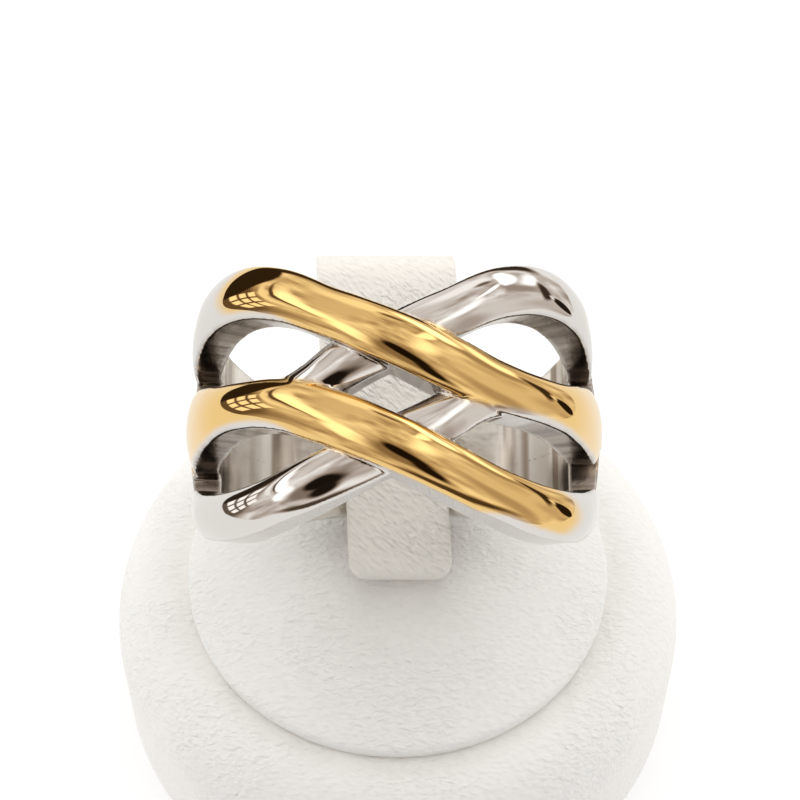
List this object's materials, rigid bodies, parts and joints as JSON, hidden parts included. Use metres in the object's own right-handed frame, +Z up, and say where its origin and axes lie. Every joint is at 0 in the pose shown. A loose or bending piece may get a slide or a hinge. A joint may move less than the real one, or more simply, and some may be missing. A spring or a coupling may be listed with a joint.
{
  "type": "crossover ring on display stand",
  "caption": "Two-tone openwork crossover band ring worn on a finger, held on a round leatherette display stand by a sloping clip.",
  "frame": {"origin": "middle of the base's flat underside", "axes": "+Z up, +X to the right as seen from the front, -Y to the front, where the clip's free end points"},
  "size_m": [0.0314, 0.0314, 0.034],
  "materials": {
    "ring_metal": "polished",
    "base_leatherette": "fine grain, matt",
    "pad_leatherette": "fine grain, matt",
    "clip_leatherette": "fine grain, matt"
  },
  "bodies": {
    "root": {"ring": "ring_metal", "base": "base_leatherette", "pad": "pad_leatherette", "clip": "clip_leatherette"}
  },
  "joints": []
}
